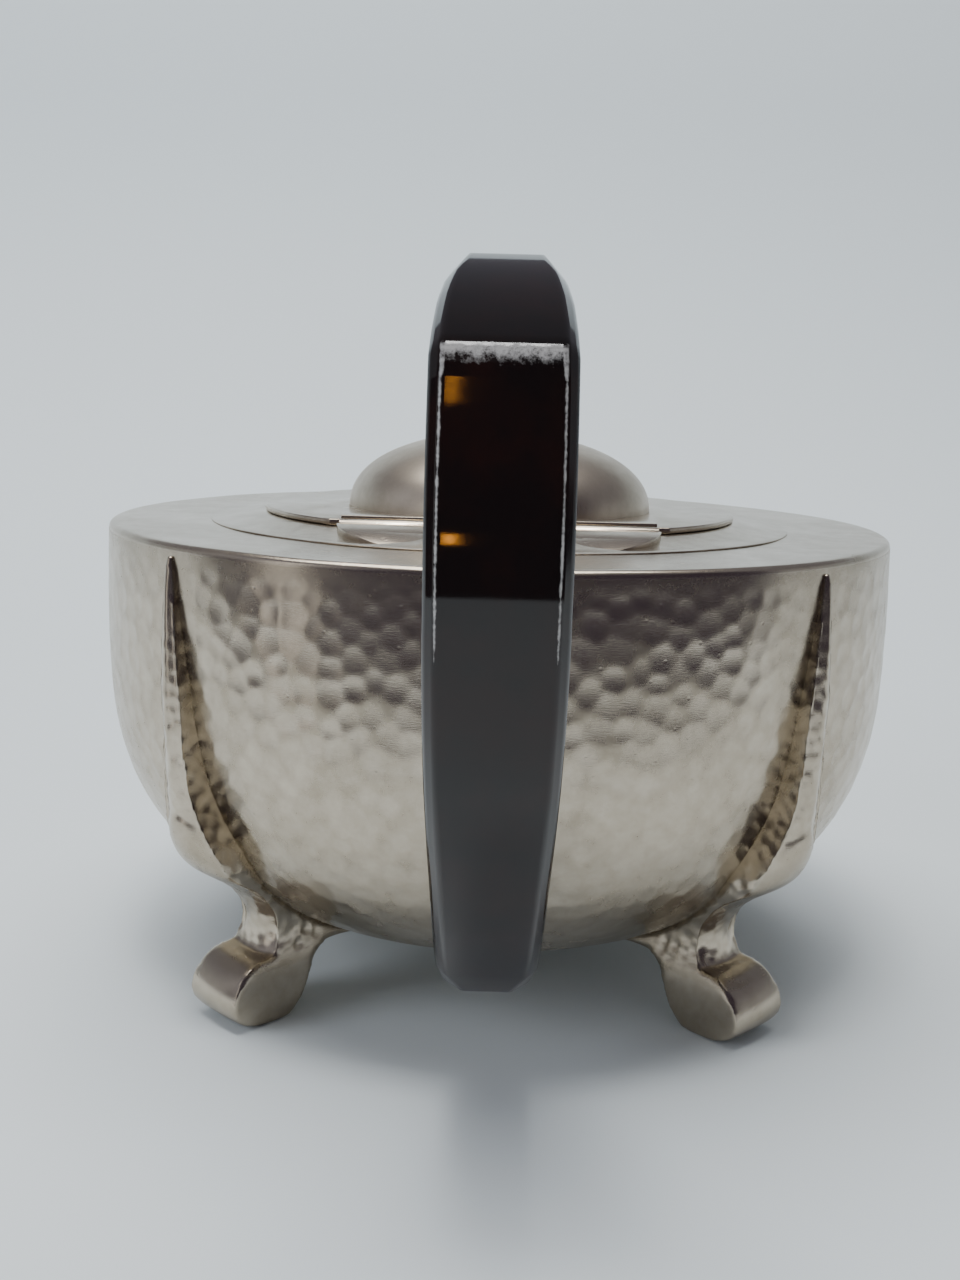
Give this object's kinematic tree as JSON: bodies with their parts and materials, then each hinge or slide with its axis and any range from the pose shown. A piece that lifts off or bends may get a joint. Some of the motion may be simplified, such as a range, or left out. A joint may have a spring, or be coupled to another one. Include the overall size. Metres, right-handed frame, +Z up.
{
  "type": "covered sugar bowl",
  "caption": "Hammered pewter sugar bowl in lobes on cast legs, with a hinged domed lid, a knob and tall black handles.",
  "frame": {"origin": "on the table, on the bowl's axis, between the feet", "axes": "+Z up; the handles lie along Y; the lid's hinge is at the front, on the -Y side; X along the hinge axis"},
  "size_m": [0.132, 0.2194, 0.1125],
  "materials": {
    "pewter": "hammered and polished pewter, worn soft",
    "handle_plastic": "polished black phenolic plastic with worn edges",
    "steel": "plain steel pin"
  },
  "bodies": {
    "pot": {"bowl": "pewter", "shoulder_plate": "pewter", "neck_collar": "pewter", "hinge_apron": "pewter", "hinge_pin": "steel", "leg_front_left": "pewter", "leg_front_right": "pewter", "leg_back_left": "pewter", "leg_back_right": "pewter", "handle_front": "handle_plastic", "upper_socket_front": "pewter", "lower_socket_front": "pewter", "upper_pin_front": "steel", "lower_pin_front": "steel", "handle_back": "handle_plastic", "upper_socket_back": "pewter", "lower_socket_back": "pewter", "upper_pin_back": "steel", "lower_pin_back": "steel"},
    "lid": {"lid_plate": "pewter", "lid_dome": "pewter", "lid_bezel": "pewter", "lid_hinge": "pewter", "knob": "handle_plastic", "knob_washer": "pewter", "knob_stud": "steel", "knob_nut": "steel"}
  },
  "joints": [
    {"name": "lid_hinge", "type": "hinge", "parent": "pot", "child": "lid", "pos_m": [0, -0.032, 0.07645], "axis": [1, 0, 0], "range_deg": [0, 105]}
  ]
}
